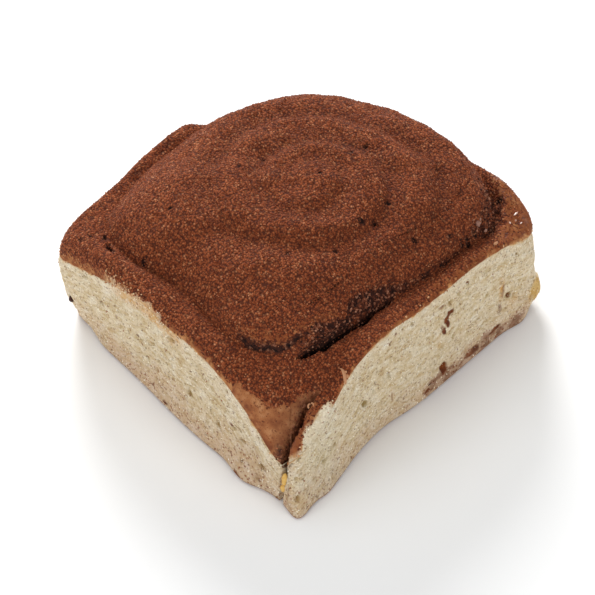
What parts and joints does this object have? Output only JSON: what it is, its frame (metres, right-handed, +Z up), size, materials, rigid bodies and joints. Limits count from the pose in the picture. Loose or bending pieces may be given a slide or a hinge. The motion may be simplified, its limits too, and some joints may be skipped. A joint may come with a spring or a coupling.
{
  "type": "cocoa swirl bun",
  "caption": "Square swirl bun pulled from a tray bake: a low coiled dome dusted with cocoa, straight torn crumb walls, a baked round side and a dark filling seam.",
  "frame": {"origin": "centre of the bounding box in plan, on the flat underside", "axes": "+Z up; +X faces out of the torn wall with the filling band at its foot; -Y faces out of the other torn wall seen in the picture; the baked round corner is at -X +Y"},
  "size_m": [0.0942, 0.0998, 0.0525],
  "materials": {
    "bun": "baked dough dusted with cocoa, matte",
    "filling": "dark cocoa paste, slightly grainy"
  },
  "bodies": {
    "root": {"bun": "bun", "filling": "filling"}
  },
  "joints": []
}
